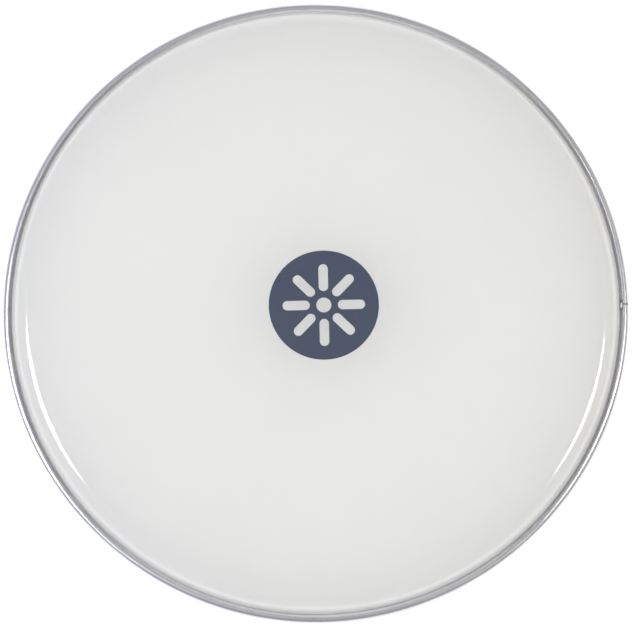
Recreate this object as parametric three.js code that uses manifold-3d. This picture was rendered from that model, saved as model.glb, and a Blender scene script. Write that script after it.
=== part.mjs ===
// A synthetic drumhead: a milky film with a formed collar, its edge potted in resin inside an
// aluminium channel hoop that is rolled from straight stock, butted and welded. A printed badge
// lies on the playing surface. The head rests on the hoop's underside, playing side up.
// Millimetres, +Z up, origin at the centre of the hoop's underside.
import * as THREE from "three";
import { mergeVertices } from "three/addons/utils/BufferGeometryUtils.js";
import Module from "manifold-3d";

const wasm = await Module();
wasm.setup();

// ---- driving dimensions ------------------------------------------------------------------
const shellDiameter = 304.8; // the drum shell that the head fits, 12 in
const shellClearance = 0.6; // between the shell and the hoop, on the radius

const hoopWidth = 6.35; // radial
const hoopHeight = 9.5;
const hoopSheet = 1.1; // thickness of the strip that the channel is rolled from
const innerWallDrop = 1.9; // how far the inner wall stops below the lip's crown
const mouthWidth = 1.45; // from the film to the lip, the outer wall's top bent inwards
const lipBend = 2.3; // outside radius of that bend
const lipLand = 0.5; // at least this much of the lip's crown stays flat
const edgeRound = 0.2; // on the lip's cut edge
const footRound = 0.6;

const filmThickness = 0.25;
const skirtStandoff = 0.5; // from the inner wall to the film
const skirtFoot = 1.4; // from the channel's floor to the film's lowest face
const hookReach = 1.3; // outward flange at the film's edge
const hookRadius = 0.6;
const bendRadius = 2.0; // where the film leaves the channel
const collarAngle = THREE.MathUtils.degToRad(65); // from the horizontal
const collarLength = 4.0; // straight part of the collar
const crownRadius = 9.0; // shoulder between the collar and the flat

const lockHoleCount = 24; // punched through the skirt for the resin
const lockHoleRadius = 1.1;
const lockHoleSides = 8;

const bondGap = 0.05; // between the resin and what it is cast against
const resinDrop = 1.0; // from the inner wall's top down to the resin's surface
const meniscusRise = 0.7;
const meniscusWidth = 1.1;

const jointAngle = THREE.MathUtils.degToRad(0.9); // the butt joint, counter-clockwise from +X
const jointGap = 0.35;
const weldRadius = 0.5;
const weldLength = 3.0; // between the centres of its round ends
const weldGap = 0.1; // between the weld bead and the lip

const badgeDiameter = 55.8;
const badgeOffset = new THREE.Vector2(4.1, 0.8); // the print sits a little off centre
const badgeTurn = THREE.MathUtils.degToRad(1.2);
const printThickness = 0.1;
const printGap = 0.02;
const rayCount = 8; // bare rays round a bare dot, left out of the print
const rayWidth = 4.8;
const rayStart = 9.5; // centres of the rays' round ends, from the badge's centre
const rayEnd = 18.5;
const dotRadius = 3.8;

const ringSegments = 72;
const badgeSegments = 64;
const rayEndSteps = 6;

// ---- places worked out from them ----------------------------------------------------------
const hoopInner = shellDiameter / 2 + shellClearance;
const hoopOuter = hoopInner + hoopWidth;
const innerWallTop = hoopHeight - innerWallDrop;
const innerWallFace = hoopInner + hoopSheet; // the channel side of the inner wall
const outerWallFace = hoopOuter - hoopSheet; // the channel side of the outer wall
const skirtRadius = innerWallFace + skirtStandoff + filmThickness / 2;
const lipFace = skirtRadius + filmThickness / 2 + mouthWidth; // the lip's cut edge
const lipUnderside = hoopHeight - hoopSheet;
const lipBendRadius = Math.min(lipBend, hoopOuter - lipFace - edgeRound - lipLand);
const skirtBottom = hoopSheet + skirtFoot + filmThickness / 2;
const resinTop = innerWallTop - resinDrop;
const lockHoleHeight = (skirtBottom + resinTop) / 2;
const leanAngle = Math.PI / 2 - collarAngle; // the collar's lean, from the vertical

// ---- helpers ------------------------------------------------------------------------------

// Points of an arc, from one angle to another, both ends included.
function arc(centreX, centreY, radius, from, to, steps) {
  const points = [];
  for (let i = 0; i <= steps; i++) {
    const a = from + ((to - from) * i) / steps;
    points.push(new THREE.Vector2(centreX + radius * Math.cos(a), centreY + radius * Math.sin(a)));
  }
  return points;
}

function circle(radius, steps) {
  return arc(0, 0, radius, 0, 2 * Math.PI, steps).slice(0, -1);
}

// A ring or disc about +Z from a section of (radius, height) points.
function revolve(section, segments = ringSegments) {
  const closed = section[0].x === 0 ? section : [...section, section[0].clone()];
  return new THREE.LatheGeometry(closed, segments).rotateX(Math.PI / 2);
}

function toSolid(geometry) {
  const bare = geometry.index ? geometry.toNonIndexed() : geometry.clone();
  bare.deleteAttribute("normal");
  bare.deleteAttribute("uv");
  const merged = mergeVertices(bare, 1e-4);
  const mesh = new wasm.Mesh({
    numProp: 3,
    vertProperties: merged.attributes.position.array,
    triVerts: new Uint32Array(merged.index.array),
  });
  return new wasm.Manifold(mesh);
}

function toGeometry(solid) {
  const mesh = solid.getMesh();
  const geometry = new THREE.BufferGeometry();
  geometry.setAttribute("position", new THREE.BufferAttribute(mesh.vertProperties, 3));
  geometry.setIndex(new THREE.BufferAttribute(mesh.triVerts, 1));
  geometry.computeVertexNormals();
  return geometry;
}

// The two faces of a sheet that follows a centreline, as one closed outline.
function sheetOutline(centreline, thickness) {
  const half = thickness / 2;
  const last = centreline.length - 1;
  const above = [];
  const below = [];
  centreline.forEach((point, i) => {
    const before = centreline[Math.max(i - 1, 0)];
    const after = centreline[Math.min(i + 1, last)];
    const along = after.clone().sub(before).normalize();
    if (i === 0) along.set(1, 0); // flat where it crosses the axis
    const normal = new THREE.Vector2(-along.y, along.x).multiplyScalar(half);
    above.push(point.clone().add(normal));
    below.push(point.clone().sub(normal));
  });
  return [...below, ...above.reverse()];
}

// The film's centreline, from the centre of the playing surface out and down to its hooked edge.
// It is worked out from the channel upwards and then turned round.
function filmCentreline(edgeReach = hookReach) {
  const hook = arc(
    skirtRadius + hookRadius, skirtBottom + hookRadius, hookRadius,
    -Math.PI / 2, -Math.PI, 3,
  );
  const edge = new THREE.Vector2(skirtRadius + edgeReach, skirtBottom);
  const bend = arc(skirtRadius - bendRadius, innerWallTop, bendRadius, 0, leanAngle, 2);
  const collarFoot = bend[bend.length - 1];
  const crownCentre = new THREE.Vector2(
    collarFoot.x - collarLength * Math.cos(collarAngle) - crownRadius * Math.sin(collarAngle),
    collarFoot.y + collarLength * Math.sin(collarAngle) - crownRadius * Math.cos(collarAngle),
  );
  const crown = arc(crownCentre.x, crownCentre.y, crownRadius, leanAngle, Math.PI / 2, 7);
  const flat = new THREE.Vector2(0, crownCentre.y + crownRadius);
  return [edge, ...hook, ...bend, ...crown, flat].reverse();
}

const flatHeight = filmCentreline()[0].y;

// ---- pieces -------------------------------------------------------------------------------

// The aluminium channel: outer wall with its top bent inwards, closed floor, lower inner wall.
function hoopSection() {
  const quarter = Math.PI / 2;
  const bendX = hoopOuter - lipBendRadius;
  const bendY = hoopHeight - lipBendRadius;
  const edgeX = lipFace + edgeRound;
  const tip = hoopSheet / 2;
  return [
    ...arc(hoopOuter - footRound, footRound, footRound, -quarter, 0, 2),
    ...arc(bendX, bendY, lipBendRadius, 0, quarter, 5),
    ...arc(edgeX, hoopHeight - edgeRound, edgeRound, quarter, 2 * quarter, 1),
    ...arc(edgeX, lipUnderside + edgeRound, edgeRound, 2 * quarter, 3 * quarter, 1),
    ...arc(bendX, bendY, lipBendRadius - hoopSheet, quarter, 0, 3),
    new THREE.Vector2(outerWallFace, hoopSheet),
    new THREE.Vector2(innerWallFace, hoopSheet),
    ...arc(hoopInner + tip, innerWallTop - tip, tip, 0, 2 * quarter, 4),
    ...arc(hoopInner + footRound, footRound, footRound, -2 * quarter, -quarter, 2),
  ];
}

// Turns something modelled at +X round to the butt joint.
function atJoint(geometry) {
  return geometry.rotateZ(jointAngle);
}

function fleshHoop() {
  const slit = new THREE.BoxGeometry(4 * hoopWidth, jointGap, 4 * hoopHeight);
  atJoint(slit.translate((hoopInner + hoopOuter) / 2, 0, 0));
  return toGeometry(toSolid(revolve(hoopSection())).subtract(toSolid(slit)));
}

// The radius at the middle of a ring's facets, less than at their corners.
function facetRadius(cornerRadius) {
  return cornerRadius * Math.cos(Math.PI / ringSegments);
}

// A short bead along the lip's cut edge, across the butt joint.
function jointWeld() {
  const bead = new THREE.CapsuleGeometry(weldRadius, weldLength, 4, 10);
  const height = (hoopHeight + lipUnderside) / 2;
  return atJoint(bead.translate(facetRadius(lipFace) - weldGap - weldRadius, 0, height));
}

// The pins of resin, or the holes that they pass through, all round the skirt.
function lockPins(radius, reach) {
  const pins = [];
  for (let i = 0; i < lockHoleCount; i++) {
    const pin = new THREE.CylinderGeometry(radius, radius, reach, lockHoleSides);
    pin.rotateZ(Math.PI / 2);
    pin.translate(facetRadius(skirtRadius), 0, lockHoleHeight);
    pin.rotateZ((2 * Math.PI * i) / lockHoleCount + Math.PI / ringSegments);
    pins.push(toSolid(pin));
  }
  return wasm.Manifold.union(pins);
}

function drumSkin() {
  const sheet = toSolid(revolve(sheetOutline(filmCentreline(), filmThickness)));
  const reach = 4 * filmThickness;
  return toGeometry(sheet.subtract(lockPins(lockHoleRadius, reach)));
}

// Resin poured into the channel, cast round the film's edge and through its lock holes.
function resinBead() {
  const inner = innerWallFace + bondGap;
  const outer = outerWallFace - bondGap;
  const filmFace = skirtRadius + filmThickness / 2 + bondGap;
  const meniscusTop = resinTop + meniscusRise;
  const fill = [
    new THREE.Vector2(inner, hoopSheet + bondGap),
    new THREE.Vector2(outer, hoopSheet + bondGap),
    new THREE.Vector2(outer, resinTop),
    new THREE.Vector2(filmFace + meniscusWidth, resinTop),
    new THREE.Vector2(filmFace + meniscusWidth / 3, resinTop + meniscusRise / 3),
    new THREE.Vector2(filmFace, meniscusTop),
    new THREE.Vector2(inner, meniscusTop),
  ];
  const castSlot = sheetOutline(filmCentreline(hookReach + bondGap), filmThickness + 2 * bondGap);
  const pinReach = filmThickness + 4 * bondGap;
  return toGeometry(
    toSolid(revolve(fill))
      .subtract(toSolid(revolve(castSlot)))
      .add(lockPins(lockHoleRadius - bondGap, pinReach)),
  );
}

// A bare ray of the badge: a slot with round ends, pointing away from the badge's centre.
function rayOutline(angle) {
  const quarter = Math.PI / 2;
  const slot = [
    ...arc(rayEnd, 0, rayWidth / 2, -quarter, quarter, rayEndSteps),
    ...arc(rayStart, 0, rayWidth / 2, quarter, 3 * quarter, rayEndSteps),
  ];
  const centre = new THREE.Vector2(0, 0);
  return slot.map((point) => point.rotateAround(centre, angle));
}

function printedBadge() {
  const disc = new THREE.Shape(circle(badgeDiameter / 2, badgeSegments));
  disc.holes.push(new THREE.Path(circle(dotRadius, 3 * rayEndSteps)));
  for (let i = 0; i < rayCount; i++) {
    disc.holes.push(new THREE.Path(rayOutline((2 * Math.PI * i) / rayCount)));
  }
  const print = new THREE.ExtrudeGeometry(disc, { depth: printThickness, bevelEnabled: false });
  const height = flatHeight + filmThickness / 2 + printGap;
  return print.rotateZ(badgeTurn).translate(badgeOffset.x, badgeOffset.y, height);
}

// ---- materials and assembly ---------------------------------------------------------------
const aluminium = new THREE.MeshStandardMaterial({ color: 0xc4c5ca, roughness: 0.25, metalness: 1 });
const weldMetal = new THREE.MeshStandardMaterial({ color: 0xa9aaab, roughness: 0.5, metalness: 1 });
const milkyFilm = new THREE.MeshStandardMaterial({
  color: 0xe6e6e5, roughness: 0.25, metalness: 0, transparent: true, opacity: 0.9,
});
const curedResin = new THREE.MeshStandardMaterial({
  color: 0xcfccc2, roughness: 0.15, metalness: 0, transparent: true, opacity: 0.7,
});
const slateInk = new THREE.MeshStandardMaterial({ color: 0x4e576a, roughness: 0.45, metalness: 0 });

function piece(name, geometry, material) {
  const mesh = new THREE.Mesh(geometry, material);
  mesh.name = name;
  return mesh;
}

const drumhead = new THREE.Group();
drumhead.name = "drumhead";
drumhead.add(
  piece("flesh_hoop", fleshHoop(), aluminium),
  piece("joint_weld", jointWeld(), weldMetal),
  piece("drum_skin", drumSkin(), milkyFilm),
  piece("resin_bead", resinBead(), curedResin),
  piece("printed_badge", printedBadge(), slateInk),
);

export default drumhead;
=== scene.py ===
import math

import bpy
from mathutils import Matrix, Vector, noise


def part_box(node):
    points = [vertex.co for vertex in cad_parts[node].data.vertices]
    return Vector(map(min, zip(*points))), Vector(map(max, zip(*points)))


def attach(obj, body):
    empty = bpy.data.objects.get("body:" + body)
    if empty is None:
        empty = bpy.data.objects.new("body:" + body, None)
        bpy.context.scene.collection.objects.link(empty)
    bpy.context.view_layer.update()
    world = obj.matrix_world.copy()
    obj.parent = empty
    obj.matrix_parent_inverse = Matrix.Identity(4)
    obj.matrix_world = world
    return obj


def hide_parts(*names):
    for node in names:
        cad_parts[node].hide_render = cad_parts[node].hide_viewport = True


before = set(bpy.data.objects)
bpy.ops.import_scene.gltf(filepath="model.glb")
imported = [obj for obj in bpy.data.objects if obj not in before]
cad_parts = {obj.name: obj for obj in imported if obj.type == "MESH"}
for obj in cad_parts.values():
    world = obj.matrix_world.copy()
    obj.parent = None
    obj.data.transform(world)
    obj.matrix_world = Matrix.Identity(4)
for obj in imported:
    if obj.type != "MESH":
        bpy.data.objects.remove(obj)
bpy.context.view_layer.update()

MM = 0.001
TAU = 2 * math.pi
QUARTER = math.pi / 2

# ---- sizes, as in the CAD model where no comment says otherwise -------------------------------
hoop_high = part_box("flesh_hoop")[1]
film_low, film_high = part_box("drum_skin")
badge_low, badge_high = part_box("printed_badge")
weld_low, weld_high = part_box("joint_weld")

HOOP_OUTER = hoop_high.x
HOOP_HEIGHT = hoop_high.z
HOOP_WIDTH = 6.35 * MM
HOOP_SHEET = 1.1 * MM
INNER_WALL_DROP = 1.9 * MM
INNER_WALL_EXTRA = 1.8 * MM  # lower than in CAD, so that light reaches the film's foot
MOUTH_WIDTH = 1.45 * MM
LIP_BEND = 2.3 * MM
EDGE_ROUND = 0.2 * MM
FOOT_ROUND = 0.6 * MM
FLOOR_CORNER = 0.3 * MM  # the bend inside the channel's floor corners
JOINT_ANGLE = math.radians(0.9)
JOINT_GAP = 0.15 * MM  # narrower than in CAD, between edges whose painted shade widens it to the eye

FILM = 0.25 * MM
SKIRT_STANDOFF = 0.5 * MM
HOOK_RADIUS = 0.6 * MM
BEND_RADIUS = 2.0 * MM
COLLAR_ANGLE = math.radians(65)
COLLAR_LENGTH = 4.0 * MM
CROWN_RADIUS = 9.0 * MM

BOND_GAP = 0.05 * MM
RESIN_DROP = 1.0 * MM
RESIN_FILLET = 0.9 * MM
RESIN_IN_HOOK = 0.3 * MM  # its bevel inside the bend of the film's hook
RESIN_OUT_OF_HOOK = (0.4 * MM, 0.5 * MM)  # its bevel outside that bend, across and up
RESIN_BEHIND = (0.1 * MM, 0.3 * MM)  # below the inner wall's top, at the film and at the wall

WELD_HALF = Vector((0.58 * MM, 1.5 * MM, 0.8 * MM))  # across the hoop, along it, and up
WELD_SHIFT = Vector((-0.05 * MM, -0.7 * MM, 0.55 * MM))  # from the CAD bead's centre
WELD_LUMPS = ((0.28, 1.7), (0.1, 5.1))  # how far they stand out, and how closely they lie

BADGE_TURN = math.radians(1.2)
INK = 0.04 * MM
INK_LIFT = 0.01 * MM
RAYS = 8
RAY_WIDTH = 4.8 * MM
RAY_START = 9.5 * MM
RAY_END = 18.5 * MM
DOT_RADIUS = 3.8 * MM

ROUND_STEPS = 720
SHARP_EDGE = math.radians(40)

hoop_inner = HOOP_OUTER - HOOP_WIDTH
inner_wall_face = hoop_inner + HOOP_SHEET
outer_wall_face = HOOP_OUTER - HOOP_SHEET
film_bend_height = HOOP_HEIGHT - INNER_WALL_DROP
inner_wall_top = film_bend_height - INNER_WALL_EXTRA
skirt_radius = inner_wall_face + SKIRT_STANDOFF + FILM / 2
skirt_bottom = film_low.z + FILM / 2
lip_face = skirt_radius + FILM / 2 + MOUTH_WIDTH
resin_top = film_bend_height - RESIN_DROP


# ---- mesh helpers -----------------------------------------------------------------------------
def arc(x, z, radius, start, end, steps):
    """Points of an arc in the section plane, both ends included."""
    turns = [start + (end - start) * i / steps for i in range(steps + 1)]
    return [(x + radius * math.cos(a), z + radius * math.sin(a)) for a in turns]


def span(a, b, steps):
    """Points between two section points, both left out."""
    return [
        (a[0] + (b[0] - a[0]) * i / steps, a[1] + (b[1] - a[1]) * i / steps)
        for i in range(1, steps)
    ]


def make_object(name, verts, faces):
    mesh = bpy.data.meshes.new(name)
    mesh.from_pydata(verts, [], faces)
    mesh.validate()
    mesh.shade_smooth()
    mesh.set_sharp_from_angle(angle=SHARP_EDGE)
    made = bpy.data.objects.new(name, mesh)
    bpy.context.scene.collection.objects.link(made)
    return made


def revolve(name, section, warp, gap=None):
    """A ring about Z from a closed, counter-clockwise section, or a disc where it meets the axis.
    warp moves a (radius, height, angle) point; gap is (angle, width) of a cut right through."""
    on_axis = section[0][0] == 0
    start, sweep, count = 0.0, TAU, ROUND_STEPS
    if gap:
        half = gap[1] / 2 / HOOP_OUTER
        start, sweep, count = gap[0] + half, TAU - 2 * half, ROUND_STEPS + 1
    rim = section[1:-1] if on_axis else section
    verts, faces, size = [], [], len(rim)
    for i in range(count):
        a = start + sweep * i / ROUND_STEPS
        for r, z in rim:
            r, z = warp(r, z, a)
            verts.append((r * math.cos(a), r * math.sin(a), z))
    for i in range(ROUND_STEPS):
        here, there = i * size, ((i + 1) % count) * size
        for k in range(size - 1 if on_axis else size):
            n = (k + 1) % size
            faces.append((here + k, there + k, there + n, here + n))
    if gap:
        faces.append(tuple(range(size)))
        faces.append(tuple(range((count - 1) * size, count * size))[::-1])
    if on_axis:
        bottom, top = len(verts), len(verts) + 1
        verts += [(0, 0, section[0][1]), (0, 0, section[-1][1])]
        for i in range(ROUND_STEPS):
            here, there = i * size, ((i + 1) % count) * size
            faces.append((bottom, there, here))
            faces.append((top, here + size - 1, there + size - 1))
    return make_object(name, verts, faces)


def thicken(line, thickness):
    """The closed, counter-clockwise outline of a sheet along a line that starts on the axis."""
    above, below = [], []
    for i, (x, z) in enumerate(line):
        before, after = line[max(i - 1, 0)], line[min(i + 1, len(line) - 1)]
        run, rise = after[0] - before[0], after[1] - before[1]
        if i == 0:
            run, rise = 1.0, 0.0
        length = math.hypot(run, rise)
        nx, nz = -rise / length * thickness / 2, run / length * thickness / 2
        above.append((x + nx, z + nz))
        below.append((x - nx, z - nz))
    return below + above[::-1]


def ripple(a, seed, waves, size):
    """Smooth, repeatable unevenness round a ring."""
    place = Vector((waves * math.cos(a), waves * math.sin(a), seed))
    return size * noise.noise(place)


def swell(a, middle, half_width):
    """1 at an angle in degrees, falling smoothly to 0 at half_width degrees either side."""
    off = (math.degrees(a) - middle + 180) % 360 - 180
    return 0.5 + 0.5 * math.cos(math.pi * off / half_width) if abs(off) < half_width else 0.0


# ---- material helpers -------------------------------------------------------------------------
def material(name, color, roughness, metallic=0.0):
    """A material with plain values, which its nodes may then vary."""
    made = bpy.data.materials.new(name)
    made.use_nodes = True
    shader = made.node_tree.nodes["Principled BSDF"]
    shader.inputs["Base Color"].default_value = (*color, 1)
    shader.inputs["Roughness"].default_value = roughness
    shader.inputs["Metallic"].default_value = metallic
    return made, made.node_tree, shader


def node(tree, kind, **values):
    """A node with its properties and its inputs' values set by name."""
    made = tree.nodes.new(kind)
    for key, value in values.items():
        if key in made.inputs:
            made.inputs[key].default_value = value
        else:
            setattr(made, key, value)
    return made


def noise_map(tree, scale, detail=4.0, roughness=0.5, vector=None):
    made = node(tree, "ShaderNodeTexNoise", Scale=scale, Detail=detail, Roughness=roughness)
    source = vector or tree.nodes.new("ShaderNodeTexCoord").outputs["Object"]
    tree.links.new(source, made.inputs["Vector"])
    return made.outputs["Fac"]


def feed(tree, value, socket):
    """Links a socket to another one, or gives it a plain value."""
    if isinstance(value, bpy.types.NodeSocket):
        tree.links.new(value, socket)
    else:
        socket.default_value = value


def maths(tree, operation, *values):
    """The result of a Math node, whose inputs are numbers or sockets."""
    made = node(tree, "ShaderNodeMath", operation=operation)
    for socket, value in zip(made.inputs, values):
        feed(tree, value, socket)
    return made.outputs[0]


def ramp_to(tree, source, low, high, target=None, span=(0.3, 0.7)):
    """Maps a source from span to low..high, held at both ends, and feeds it to any target."""
    made = tree.nodes.new("ShaderNodeMapRange")
    made.inputs["From Min"].default_value, made.inputs["From Max"].default_value = span
    made.inputs["To Min"].default_value, made.inputs["To Max"].default_value = low, high
    tree.links.new(source, made.inputs["Value"])
    if target is not None:
        tree.links.new(made.outputs["Result"], target)
    return made.outputs["Result"]


def colour_mix(tree, factor, low, high, target=None):
    """Mixes two colours, each a tuple or a socket, and feeds the result to any target."""
    made = node(tree, "ShaderNodeMix", data_type="RGBA")
    for socket, colour in zip([s for s in made.inputs if s.type == "RGBA"], (low, high)):
        feed(tree, (*colour, 1) if isinstance(colour, tuple) else colour, socket)
    tree.links.new(factor, made.inputs["Factor"])
    result = [s for s in made.outputs if s.type == "RGBA"][0]
    if target is not None:
        tree.links.new(result, target)
    return result


def bump(tree, shader, height, distance):
    made = node(tree, "ShaderNodeBump", Strength=1.0, Distance=distance)
    tree.links.new(height, made.inputs["Height"])
    tree.links.new(made.outputs["Normal"], shader.inputs["Normal"])


def across_the_ring(tree):
    """The distance from the head's axis."""
    flat = node(tree, "ShaderNodeVectorMath", operation="MULTIPLY")
    flat.inputs[1].default_value = (1, 1, 0)
    tree.links.new(tree.nodes.new("ShaderNodeTexCoord").outputs["Object"], flat.inputs[0])
    radius = node(tree, "ShaderNodeVectorMath", operation="LENGTH")
    tree.links.new(flat.outputs["Vector"], radius.inputs[0])
    return radius.outputs["Value"]


def round_the_ring(tree, fine, coarse):
    """A coordinate that changes slowly along the ring and fast across it and up its walls."""
    place = tree.nodes.new("ShaderNodeTexCoord").outputs["Object"]
    parts = tree.nodes.new("ShaderNodeSeparateXYZ")
    tree.links.new(place, parts.inputs[0])
    across = maths(tree, "MULTIPLY_ADD", parts.outputs["Z"], UP_THE_WALLS, across_the_ring(tree))
    joined = tree.nodes.new("ShaderNodeCombineXYZ")
    for axis, source, scale in (("X", parts.outputs["X"], coarse),
                                ("Y", parts.outputs["Y"], coarse),
                                ("Z", across, fine)):
        tree.links.new(maths(tree, "MULTIPLY", source, scale), joined.inputs[axis])
    return joined.outputs[0]


def mix_shaders(tree, share, first, second):
    """Mixes two shaders; share is how much of the second there is, a number or a socket."""
    made = tree.nodes.new("ShaderNodeMixShader")
    feed(tree, share, made.inputs[0])
    tree.links.new(first.outputs[0], made.inputs[1])
    tree.links.new(second.outputs[0], made.inputs[2])
    return made


# ---- materials --------------------------------------------------------------------------------
UP_THE_WALLS = 0.7  # how fast the rolled lines change there, against across the lip
SEAM_PAINTED_SHADE = (0.16 * MM, 0.4 * MM)  # where the painted shade of the joint's gap on the metal starts to fade, and ends
# the dark, dull colour of that painted shade beside the joint
SEAM_SHADE_COLOUR = (0.04, 0.04, 0.04)
SEAM_SHADE_ROUGHNESS = 0.8
WELD_SHADE_REACH = (1.9 * MM, 3.4 * MM)  # the same distances for the painted shade on the resin in the crevice round the weld
# the colour of that painted shade
WELD_SHADE_COLOUR = (0.4, 0.395, 0.39)


def near_seam(tree, reach):
    """1 beside the butt joint, fading to 0 between the two distances in reach."""
    place = tree.nodes.new("ShaderNodeTexCoord").outputs["Object"]
    dots = []
    for way in (JOINT_ANGLE, JOINT_ANGLE + QUARTER):
        dot = node(tree, "ShaderNodeVectorMath", operation="DOT_PRODUCT")
        dot.inputs[1].default_value = (math.cos(way), math.sin(way), 0)
        tree.links.new(place, dot.inputs[0])
        dots.append(dot.outputs["Value"])
    towards, aside = dots
    close = ramp_to(tree, maths(tree, "ABSOLUTE", aside), 1.0, 0.0, span=reach)
    return maths(tree, "MULTIPLY", close, maths(tree, "GREATER_THAN", towards, 0.0))


def aluminium():
    """Bright rolled strip: lines round the hoop, a patchy gloss, and painted shade along the
    joint, dark and dull, for the shade in its gap.
    """
    made, tree, shader = material("aluminium", (0.66, 0.66, 0.67), 0.3, 1.0)
    lines = noise_map(tree, 1.0, 6.0, 0.6, round_the_ring(tree, fine=5200, coarse=14))
    patches = noise_map(tree, 38, 3.0)
    mixed = maths(tree, "MULTIPLY_ADD", lines, 0.5, maths(tree, "MULTIPLY", patches, 0.5))
    clean = ramp_to(tree, mixed, 0.24, 0.34)
    metal = colour_mix(tree, mixed, (0.62, 0.625, 0.64), (0.70, 0.70, 0.705))
    # Painted shade: beside the joint the metal turns dark, dull and not metallic, for the shade in
    # the gap.
    seam_shade = near_seam(tree, SEAM_PAINTED_SHADE)
    seam_shade_roughness = ramp_to(tree, seam_shade, 0.0, SEAM_SHADE_ROUGHNESS, span=(0.0, 1.0))
    colour_mix(tree, seam_shade, metal, SEAM_SHADE_COLOUR, shader.inputs["Base Color"])
    ramp_to(tree, seam_shade, 1.0, 0.0, shader.inputs["Metallic"], (0.0, 1.0))
    tree.links.new(maths(tree, "MAXIMUM", clean, seam_shade_roughness), shader.inputs["Roughness"])
    bump(tree, shader, lines, 0.004 * MM)
    return made


def weld_metal():
    """Rough filed weld, paler and duller than the strip."""
    made, tree, shader = material("weld_metal", (0.72, 0.72, 0.725), 0.5, 0.4)
    grain = noise_map(tree, 2600, 5.0)
    ramp_to(tree, grain, 0.42, 0.7, shader.inputs["Roughness"])
    colour_mix(tree, grain, (0.6, 0.6, 0.61), (0.84, 0.84, 0.84), shader.inputs["Base Color"])
    bump(tree, shader, grain, 0.06 * MM)
    return made


FILM_IOR = 1.64
FILM_THROUGH = 0.84  # share of the light that a face of the film passes on
COLLAR_FOOT_LIT_THROUGH = 0.66  # the same at the collar's foot, where painted light makes the film paler and less clear
# the paler film colour of that painted light
COLLAR_FOOT_LIT_COLOUR = (0.92, 0.92, 0.91)
COLLAR_FOOT_LIT_SPAN = (152.0 * MM, 153.6 * MM)  # radii over which that painted light sets in
FILM_CLEAR = 0.45  # share of the light passed on that isn't scattered


def film_gloss(tree, body):
    """The film's smooth surface over a shader, as a Fresnel share that its outer side mirrors."""
    gloss = node(tree, "ShaderNodeBsdfAnisotropic", Color=(1, 1, 1, 1))
    grain = noise_map(tree, 900, 2.0)
    ramp_to(tree, grain, 0.05, 0.08, gloss.inputs["Roughness"])
    bump(tree, gloss, grain, 0.003 * MM)
    mirrored = node(tree, "ShaderNodeFresnel", IOR=FILM_IOR).outputs[0]
    inside = tree.nodes.new("ShaderNodeNewGeometry").outputs["Backfacing"]
    outside = ramp_to(tree, inside, 1.0, 0.0, span=(0.0, 1.0))
    return mix_shaders(tree, maths(tree, "MULTIPLY", mirrored, outside), body, gloss)


def milky_film():
    """Milky polyester: part of the light scatters back, part goes through and lights the floor."""
    made, tree, shader = material("milky_film", (0.74, 0.74, 0.72), 0.6)
    shader.inputs["Specular IOR Level"].default_value = 0.0
    cloud = noise_map(tree, 16, 3.0)
    milk = colour_mix(tree, cloud, (0.72, 0.72, 0.703), (0.76, 0.76, 0.74))
    # Painted light: towards the collar's foot the film turns paler and passes less light,
    # brightening the foot.
    collar_foot_lit = ramp_to(tree, across_the_ring(tree), 0.0, 1.0, span=COLLAR_FOOT_LIT_SPAN)
    colour_mix(tree, collar_foot_lit, milk, COLLAR_FOOT_LIT_COLOUR, shader.inputs["Base Color"])
    through = tree.nodes.new("ShaderNodeBsdfTranslucent")
    colour_mix(tree, cloud, (0.95, 0.95, 0.934), (0.97, 0.97, 0.953), through.inputs["Color"])
    clear = tree.nodes.new("ShaderNodeBsdfTransparent")
    spread = mix_shaders(tree, FILM_CLEAR, through, clear)
    passed = ramp_to(tree, collar_foot_lit, FILM_THROUGH, COLLAR_FOOT_LIT_THROUGH, span=(0.0, 1.0))
    body = mix_shaders(tree, passed, shader, spread)
    surface = tree.nodes["Material Output"].inputs["Surface"]
    tree.links.new(film_gloss(tree, body).outputs[0], surface)
    return made


def cured_resin():
    """Poured resin with a wet gloss, darkened round the weld by painted shade in the crevice
    there.
    """
    made, tree, shader = material("cured_resin", (0.77, 0.765, 0.76), 0.1)
    shader.inputs["Coat Weight"].default_value = 0.6
    cloud = noise_map(tree, 240, 3.0)
    pale = colour_mix(tree, cloud, (0.72, 0.715, 0.71), (0.82, 0.815, 0.81))
    # Painted shade: the resin round the weld is darkened, deepening the crevice beside the weld.
    colour_mix(tree, near_seam(tree, WELD_SHADE_REACH), pale, WELD_SHADE_COLOUR, shader.inputs["Base Color"])
    ramp_to(tree, cloud, 0.06, 0.2, shader.inputs["Roughness"])
    bump(tree, shader, noise_map(tree, 900, 3.0), 0.05 * MM)
    return made


def slate_ink():
    """Screen-printed ink, satin and a little mottled."""
    made, tree, shader = material("slate_ink", (0.05, 0.067, 0.108), 0.4)
    mottle = noise_map(tree, 700, 4.0)
    colour_mix(tree, mottle, (0.046, 0.062, 0.101), (0.054, 0.071, 0.114),
               shader.inputs["Base Color"])
    ramp_to(tree, mottle, 0.34, 0.46, shader.inputs["Roughness"])
    bump(tree, shader, mottle, 0.004 * MM)
    return made


# ---- pieces -----------------------------------------------------------------------------------
def keep(piece, look, name):
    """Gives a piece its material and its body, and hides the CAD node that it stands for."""
    piece.data.materials.append(look)
    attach(piece, "root")
    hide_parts(name)


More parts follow.
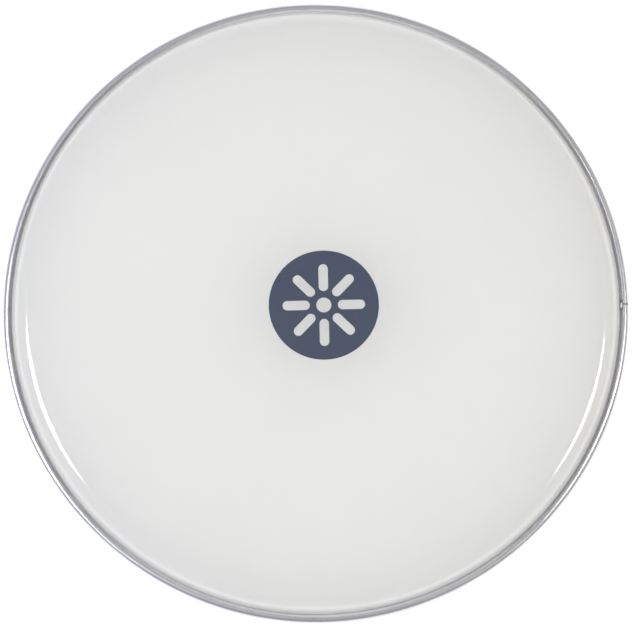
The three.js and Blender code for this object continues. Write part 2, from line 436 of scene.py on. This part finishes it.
def hoop_section():
    """Up the outer wall, over the lip, down inside the channel and up and over the inner wall."""
    bend_x, bend_z = HOOP_OUTER - LIP_BEND, HOOP_HEIGHT - LIP_BEND
    edge_x, underside = lip_face + EDGE_ROUND, HOOP_HEIGHT - HOOP_SHEET
    tip, inside = HOOP_SHEET / 2, FLOOR_CORNER
    return [
        *arc(HOOP_OUTER - FOOT_ROUND, FOOT_ROUND, FOOT_ROUND, -QUARTER, 0, 6),
        *arc(bend_x, bend_z, LIP_BEND, 0, QUARTER, 20),
        *arc(edge_x, HOOP_HEIGHT - EDGE_ROUND, EDGE_ROUND, QUARTER, 2 * QUARTER, 5),
        *arc(edge_x, underside + EDGE_ROUND, EDGE_ROUND, 2 * QUARTER, 3 * QUARTER, 5),
        *arc(bend_x, bend_z, LIP_BEND - HOOP_SHEET, QUARTER, 0, 8),
        *arc(outer_wall_face - inside, HOOP_SHEET + inside, inside, 0, -QUARTER, 4),
        *arc(inner_wall_face + inside, HOOP_SHEET + inside, inside, -QUARTER, -2 * QUARTER, 4),
        *arc(hoop_inner + tip, inner_wall_top - tip, tip, 0, 2 * QUARTER, 10),
        *arc(hoop_inner + FOOT_ROUND, FOOT_ROUND, FOOT_ROUND, -2 * QUARTER, -QUARTER, 6),
    ]


TRUE_HEIGHT = 0.6 * HOOP_HEIGHT  # below this the hoop is round
DENT_REACH = 1.6 * MM  # a dent grows to its full depth over this distance
dents_start = HOOP_OUTER - 0.4 * LIP_BEND  # inwards from this radius
# Where the lip's inner edge stands low or high: angle and half width in degrees, and depth.
LIP_DENTS = (
    (230, 8, 0.16 * MM), (313.5, 4, 0.2 * MM), (96, 5, 0.06 * MM), (151, 6, 0.08 * MM),
    (165, 34, -0.34 * MM), (147, 13, -0.16 * MM), (332, 27, -0.34 * MM), (8, 16, 0.1 * MM),
)


def hoop_warp(r, z, a):
    """Rolled strip is never quite true: the lip wanders, and its inner edge is dented."""
    lip = max(0.0, (z - TRUE_HEIGHT) / (HOOP_HEIGHT - TRUE_HEIGHT))
    inward = min(1.0, max(0.0, (dents_start - r) / DENT_REACH))
    dent = sum(depth * swell(a, middle, half) for middle, half, depth in LIP_DENTS)
    sink = lip * (abs(ripple(a, seed=4.1, waves=14, size=0.05 * MM)) + inward * dent)
    return r + lip * ripple(a, seed=1.3, waves=9, size=0.05 * MM), z - sink


def flesh_hoop():
    """The channel, its inner wall inside the film and its outer wall bent in over the top."""
    piece = revolve("hoop", hoop_section(), hoop_warp, gap=(JOINT_ANGLE, JOINT_GAP))
    keep(piece, aluminium(), "flesh_hoop")


def film_line():
    """The middle of the film's thickness, from the axis out and down to the hooked edge."""
    hook_edge = (film_high.x, skirt_bottom)
    hook = arc(skirt_radius + HOOK_RADIUS, skirt_bottom + HOOK_RADIUS, HOOK_RADIUS,
               -QUARTER, -2 * QUARTER, 5)
    lean = QUARTER - COLLAR_ANGLE
    bend = arc(skirt_radius - BEND_RADIUS, film_bend_height, BEND_RADIUS, 0, lean, 6)
    foot_x, foot_z = bend[-1]
    run, rise = math.cos(COLLAR_ANGLE), math.sin(COLLAR_ANGLE)
    crown_x = foot_x - COLLAR_LENGTH * run - CROWN_RADIUS * rise
    crown_z = foot_z + COLLAR_LENGTH * rise - CROWN_RADIUS * run
    crown = arc(crown_x, crown_z, CROWN_RADIUS, lean, QUARTER, 22)
    centre = (0.0, crown_z + CROWN_RADIUS)
    collar = span(bend[-1], crown[0], 5)
    flat = span(crown[-1], centre, 24)
    line = [hook_edge, *hook, *bend, *collar, *crown, *flat, centre]
    return line[::-1]


SHOULDER_INSET = 10 * MM  # from the skirt to the middle of the uneven shoulder
SHOULDER_REACH = 8 * MM  # which fades out over this distance on both sides


def film_warp(r, z, a):
    """The moulded shoulder is a little uneven; the flat is true."""
    off = abs(r - (skirt_radius - SHOULDER_INSET))
    shoulder = max(0.0, 1 - off / SHOULDER_REACH)
    r += shoulder * ripple(a, seed=7.7, waves=5, size=0.05 * MM)
    z += shoulder * ripple(a, seed=2.9, waves=11, size=0.03 * MM)
    return r, z


def drum_film():
    """The film, from its flat over the shoulder and down the skirt to the hook."""
    piece = revolve("film", thicken(film_line(), FILM), film_warp)
    keep(piece, milky_film(), "drum_skin")


def resin_section():
    """Up the outer wall, over the top, down one face of the skirt and up the other, and down."""
    inner, outer = inner_wall_face + BOND_GAP, outer_wall_face - BOND_GAP
    film_face = skirt_radius + FILM / 2 + BOND_GAP
    film_back = skirt_radius - FILM / 2 - BOND_GAP
    floor, corner, fillet = HOOP_SHEET + BOND_GAP, FLOOR_CORNER, RESIN_FILLET
    slot_foot = film_low.z - BOND_GAP
    slot_edge = film_high.x + BOND_GAP
    slot_top = film_low.z + FILM + BOND_GAP
    return [
        *arc(outer - corner, floor + corner, corner, -QUARTER, 0, 3),
        (outer, resin_top),
        *span((outer, resin_top), (film_face + fillet, resin_top), 6),
        *arc(film_face + fillet, resin_top + fillet, fillet, -QUARTER, -2 * QUARTER, 8),
        (film_face, slot_top + RESIN_IN_HOOK),
        (film_face + RESIN_IN_HOOK, slot_top),
        (slot_edge, slot_top),
        (slot_edge, slot_foot),
        (film_back + RESIN_OUT_OF_HOOK[0], slot_foot),
        (film_back, slot_foot + RESIN_OUT_OF_HOOK[1]),
        (film_back, inner_wall_top - RESIN_BEHIND[0]),
        (inner, inner_wall_top - RESIN_BEHIND[1]),
        *arc(inner + corner, floor + corner, corner, -2 * QUARTER, -QUARTER, 3),
    ]


POURED_DEPTH = 0.2 * MM  # only what lies no deeper than this below the resin's top moves
CREEP_REACH = 1.3 * MM  # out from the skirt, where the creep has fallen to CREEP_LEFT of itself
CREEP_LEFT = 0.25
# Where the resin has crept up the film: angle and half width in degrees, and height.
RESIN_RIDES = (
    (203, 14, 1.1 * MM), (79, 13, 0.6 * MM), (44.5, 3, 1.2 * MM), (340, 17, 0.9 * MM),
    (128, 9, 0.4 * MM), (262, 10, 0.4 * MM),
)


def resin_warp(r, z, a):
    """The poured surface rises and falls, and creeps up the film in places."""
    if r < skirt_radius or z < resin_top - POURED_DEPTH:
        return r, z
    near = max(0.0, 1 - (r - skirt_radius) / CREEP_REACH)
    rise = ripple(a, seed=3.3, waves=16, size=0.35 * MM)
    rise += ripple(a, seed=8.8, waves=60, size=0.12 * MM)
    creep = sum(height * swell(a, middle, half) for middle, half, height in RESIN_RIDES)
    return r, z + rise + creep * (CREEP_LEFT + (1 - CREEP_LEFT) * near)


def resin_fill():
    """The resin that fills the channel on both sides of the film's skirt."""
    piece = revolve("resin", resin_section(), resin_warp)
    keep(piece, cured_resin(), "resin_bead")


def weld_bead():
    """A lumpy drop of weld across the butt joint, inside the lip."""
    bpy.ops.mesh.primitive_ico_sphere_add(subdivisions=5, radius=1)
    piece = bpy.context.object
    piece.name = piece.data.name = "weld"
    centre = (weld_low + weld_high) / 2 + WELD_SHIFT
    radial = Vector((math.cos(JOINT_ANGLE), math.sin(JOINT_ANGLE), 0))
    along = Vector((-radial.y, radial.x, 0))
    half = WELD_HALF
    for vert in piece.data.vertices:
        n = vert.co.copy()
        lump = 1 + sum(size * noise.noise(n * pitch) for size, pitch in WELD_LUMPS)
        vert.co = centre + lump * (
            radial * n.x * half.x + along * n.y * half.y + Vector((0, 0, n.z * half.z))
        )
    piece.data.shade_smooth()
    keep(piece, weld_metal(), "joint_weld")


def cut_plate(name, outlines, thickness):
    """A flat plate between an outer outline and its holes, as a mesh."""
    curve = bpy.data.curves.new(name, "CURVE")
    curve.dimensions = "2D"
    curve.fill_mode = "BOTH"
    curve.extrude = thickness / 2
    for points in outlines:
        spline = curve.splines.new("POLY")
        spline.points.add(len(points) - 1)
        for point, (x, y) in zip(spline.points, points):
            point.co = (x, y, 0, 1)
        spline.use_cyclic_u = True
    holder = bpy.data.objects.new(name, curve)
    bpy.context.scene.collection.objects.link(holder)
    bpy.context.view_layer.update()
    mesh = bpy.data.meshes.new_from_object(holder)
    bpy.data.objects.remove(holder)
    made = bpy.data.objects.new(name, mesh)
    bpy.context.scene.collection.objects.link(made)
    return made


def printed_badge():
    """A disc of ink with a dot and a ring of rounded rays left clear in it."""
    radius = (badge_high.x - badge_low.x) / 2
    centre = (badge_low + badge_high) / 2
    outlines = [arc(0, 0, radius, 0, TAU, 256)[:-1], arc(0, 0, DOT_RADIUS, 0, TAU, 64)[:-1]]
    for i in range(RAYS):
        turn = TAU * i / RAYS + BADGE_TURN
        slot = [
            *arc(RAY_END, 0, RAY_WIDTH / 2, -QUARTER, QUARTER, 20),
            *arc(RAY_START, 0, RAY_WIDTH / 2, QUARTER, 3 * QUARTER, 20),
        ]
        c, s = math.cos(turn), math.sin(turn)
        outlines.append([(c * x - s * y, s * x + c * y) for x, y in slot])
    piece = cut_plate("badge", outlines, INK)
    piece.location = (centre.x, centre.y, film_high.z + INK_LIFT + INK / 2)
    keep(piece, slate_ink(), "printed_badge")


# ---- stage, light and camera ------------------------------------------------------------------
CAMERA_ELEVATION = math.radians(82)
CAMERA_DISTANCE = 1.6
VIEW_WIDTH = 0.3225  # what the frame's width covers at the hoop
AIM = Vector((0.00014, -0.0009, 0.004))

LIGHT_DISTANCE = 1.6
LIGHTS = (  # name, azimuth and elevation in degrees, width, height, power, colour
    ("left_light", 186, 57.5, 0.55, 0.60, 10.8, (0.94, 0.965, 1.0)),
    ("right_light", -8, 55, 0.52, 0.48, 5.8, (1.0, 0.98, 0.92)),
)
LEFT_TINT, RIGHT_TINT = (0.94, 0.94, 1.2), (1.05, 1.03, 0.92)

# How bright the room is by direction. A span is a stretch of one axis of a unit vector.
HORIZON, OVERHEAD, UPWARDS = 0.74, 0.485, (0.0, 0.6)
FAR_WALL, FAR_SPAN = 0.8, (0.8, 1.0)  # added straight behind the head
FRONT_SHARE, FRONT_SPAN = 0.8, (-1.0, -0.2)  # what is left of the whole in front
SIDE_SHARE, SIDE_SPAN = 0.6, (0.75, 1.0)  # and low at both sides

GLOW_UNDER, GLOW_AROUND = 0.145, 0.5  # the table glows, more round the hoop than under the head: painted light that fills the hoop's shadow
FLOOR_HALF = 4.0
SCATTER_STEPS = 10  # light crosses the film several times under the head


def camera():
    """Looks down at the head from in front and high above."""
    data = bpy.data.cameras.new("camera")
    data.sensor_width = 36
    data.lens = data.sensor_width * CAMERA_DISTANCE / VIEW_WIDTH
    made = bpy.data.objects.new("camera", data)
    bpy.context.scene.collection.objects.link(made)
    back = Vector((0, -math.cos(CAMERA_ELEVATION), math.sin(CAMERA_ELEVATION)))
    made.location = AIM + back * CAMERA_DISTANCE
    made.rotation_euler = (-back).to_track_quat("-Z", "Y").to_euler()
    bpy.context.scene.camera = made


def softbox(name, azimuth, elevation, width, height, power, color):
    """A rounded light that faces the drumhead; its height runs up and down the sky."""
    data = bpy.data.lights.new(name, "AREA")
    data.shape = "ELLIPSE"
    data.size, data.size_y = width, height
    data.energy = power
    data.color = color
    made = bpy.data.objects.new(name, data)
    bpy.context.scene.collection.objects.link(made)
    a, e = math.radians(azimuth), math.radians(elevation)
    away = Vector((math.cos(a) * math.cos(e), math.sin(a) * math.cos(e), math.sin(e)))
    made.location = away * LIGHT_DISTANCE
    made.rotation_euler = (-away).to_track_quat("-Z", "Y").to_euler()


def studio():
    """A grey room: dimmer overhead, in front and low at both sides, brighter straight behind."""
    world = bpy.data.worlds.new("studio")
    bpy.context.scene.world = world
    world.use_nodes = True
    tree = world.node_tree
    parts = tree.nodes.new("ShaderNodeSeparateXYZ")
    tree.links.new(tree.nodes.new("ShaderNodeTexCoord").outputs["Generated"], parts.inputs[0])
    x, y, z = parts.outputs
    back = tree.nodes["Background"]
    level = maths(tree, "ADD", ramp_to(tree, z, HORIZON, OVERHEAD, span=UPWARDS),
                  ramp_to(tree, y, 0.0, FAR_WALL, span=FAR_SPAN))
    front = ramp_to(tree, y, FRONT_SHARE, 1.0, span=FRONT_SPAN)
    sides = ramp_to(tree, maths(tree, "ABSOLUTE", x), 1.0, SIDE_SHARE, span=SIDE_SPAN)
    dimmed = maths(tree, "MULTIPLY", maths(tree, "MULTIPLY", level, front), sides)
    tree.links.new(dimmed, back.inputs["Strength"])
    tint = ramp_to(tree, x, 0.0, 1.0, span=(-1.0, 1.0))
    colour_mix(tree, tint, LEFT_TINT, RIGHT_TINT, back.inputs["Color"])


def floor():
    """A plain square of table top, which glows, more round the hoop as painted light."""
    half = FLOOR_HALF
    corners = [(-half, -half, 0), (half, -half, 0), (half, half, 0), (-half, half, 0)]
    made = make_object("floor", corners, [(0, 1, 2, 3)])
    look, tree, shader = material("floor", (0.92, 0.92, 0.915), 0.9)
    shader.inputs["Emission Color"].default_value = (1, 1, 1, 1)
    # Painted light: the glow rises from under the head to round the hoop, washing out the hoop's
    # shadow.
    ramp_to(tree, across_the_ring(tree), GLOW_UNDER, GLOW_AROUND,
            shader.inputs["Emission Strength"], (hoop_inner, HOOP_OUTER))
    made.data.materials.append(look)


camera()
floor()
studio()
for light in LIGHTS:
    softbox(*light)
bpy.context.scene.view_settings.view_transform = "Standard"
bpy.context.scene.cycles.diffuse_bounces = SCATTER_STEPS

flesh_hoop()
weld_bead()
drum_film()
resin_fill()
printed_badge()
